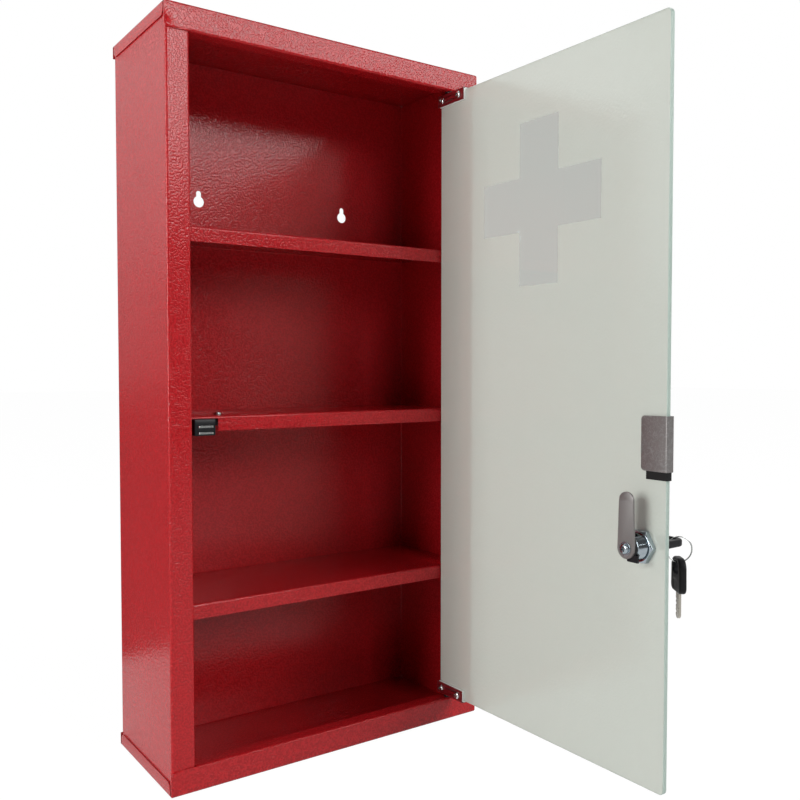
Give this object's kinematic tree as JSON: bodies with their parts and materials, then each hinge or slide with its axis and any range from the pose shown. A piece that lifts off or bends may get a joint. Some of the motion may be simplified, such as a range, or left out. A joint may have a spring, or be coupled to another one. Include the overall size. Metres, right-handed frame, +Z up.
{
  "type": "lockable wall medicine cabinet",
  "caption": "Wall-hung sheet steel medicine cabinet with folded shelves, a frosted glass door on clamp hinges, a magnetic catch and a cam lock with keys.",
  "frame": {"origin": "midway between the centres of the two keyholes' round entries, on the back panel's outer face", "axes": "+X to the right as seen from the front, +Y into the wall, +Z up; the door is stored standing open at 90 degrees"},
  "size_m": [0.3118, 0.3657, 0.6],
  "materials": {
    "red_paint": "glossy textured powder coat",
    "frosted_glass": "white frosted toughened glass with clear polished edges",
    "black_plastic": "moulded, slightly glossy",
    "zinc_plate": "bright zinc plate",
    "ferrite": "sintered",
    "white_gasket": "soft translucent white",
    "satin_steel": "satin nickel",
    "black_rubber": "matt",
    "lock_chrome": "bright blue-white zinc",
    "key_brass_plate": "nickel-plated brass"
  },
  "bodies": {
    "cabinet": {"shell_back": "red_paint", "shell_rear_bends": "red_paint", "shell_lock_wall": "red_paint", "shell_lock_flange": "red_paint", "shell_lock_return": "red_paint", "shell_hinge_wall": "red_paint", "shell_hinge_flange": "red_paint", "shell_hinge_return": "red_paint", "top_cap": "red_paint", "bottom_cap": "red_paint", "upper_shelf": "red_paint", "middle_shelf": "red_paint", "lower_shelf": "red_paint", "catch_housing": "black_plastic", "catch_pole_plates": "zinc_plate", "catch_magnet": "ferrite", "catch_screw": "zinc_plate", "upper_pivot_bush": "black_plastic", "lower_pivot_bush": "black_plastic"},
    "door": {"door_glass": "frosted_glass", "upper_hinge_clamp": "red_paint", "lower_hinge_clamp": "red_paint", "upper_hinge_gasket": "white_gasket", "lower_hinge_gasket": "white_gasket", "upper_hinge_screws": "zinc_plate", "lower_hinge_screws": "zinc_plate", "upper_pivot_pin": "zinc_plate", "lower_pivot_pin": "zinc_plate", "strike_clip": "satin_steel", "clip_liner": "black_rubber", "lock_housing": "lock_chrome", "bezel_gasket": "black_rubber", "lock_nut": "lock_chrome"},
    "lock_core": {"lock_plug": "lock_chrome", "stop_washer": "black_plastic", "lock_cam": "satin_steel", "cam_washer": "lock_chrome", "cam_screw": "lock_chrome"},
    "key": {"key_blade": "key_brass_plate", "key_bow": "black_plastic"},
    "ring": {"key_ring": "zinc_plate"},
    "spare_key": {"spare_key_blade": "key_brass_plate", "spare_key_bow": "black_plastic"}
  },
  "joints": [
    {"name": "door_swing", "type": "hinge", "parent": "cabinet", "child": "door", "pos_m": [0.121, -0.1148, -0.177], "axis": [0, 0, 1], "range_deg": [-90, 40]},
    {"name": "lock_turn", "type": "hinge", "parent": "door", "child": "lock_core", "pos_m": [0.121, -0.3413, -0.2775], "axis": [1, 0, 0], "range_deg": [0, 90]},
    {"name": "key_withdraw", "type": "slide", "parent": "lock_core", "child": "key", "axis": [1, 0, 0], "range_m": [0, 0.016]},
    {"name": "ring_swing", "type": "hinge", "parent": "key", "child": "ring", "pos_m": [0.15346, -0.34797, -0.2775], "axis": [0.5878, 0.809, 0], "range_deg": [-12, 12]},
    {"name": "spare_key_swing", "type": "hinge", "parent": "ring", "child": "spare_key", "pos_m": [0.15346, -0.34797, -0.29242], "axis": [0.809, -0.5878, 0], "range_deg": [-25, 25]}
  ]
}
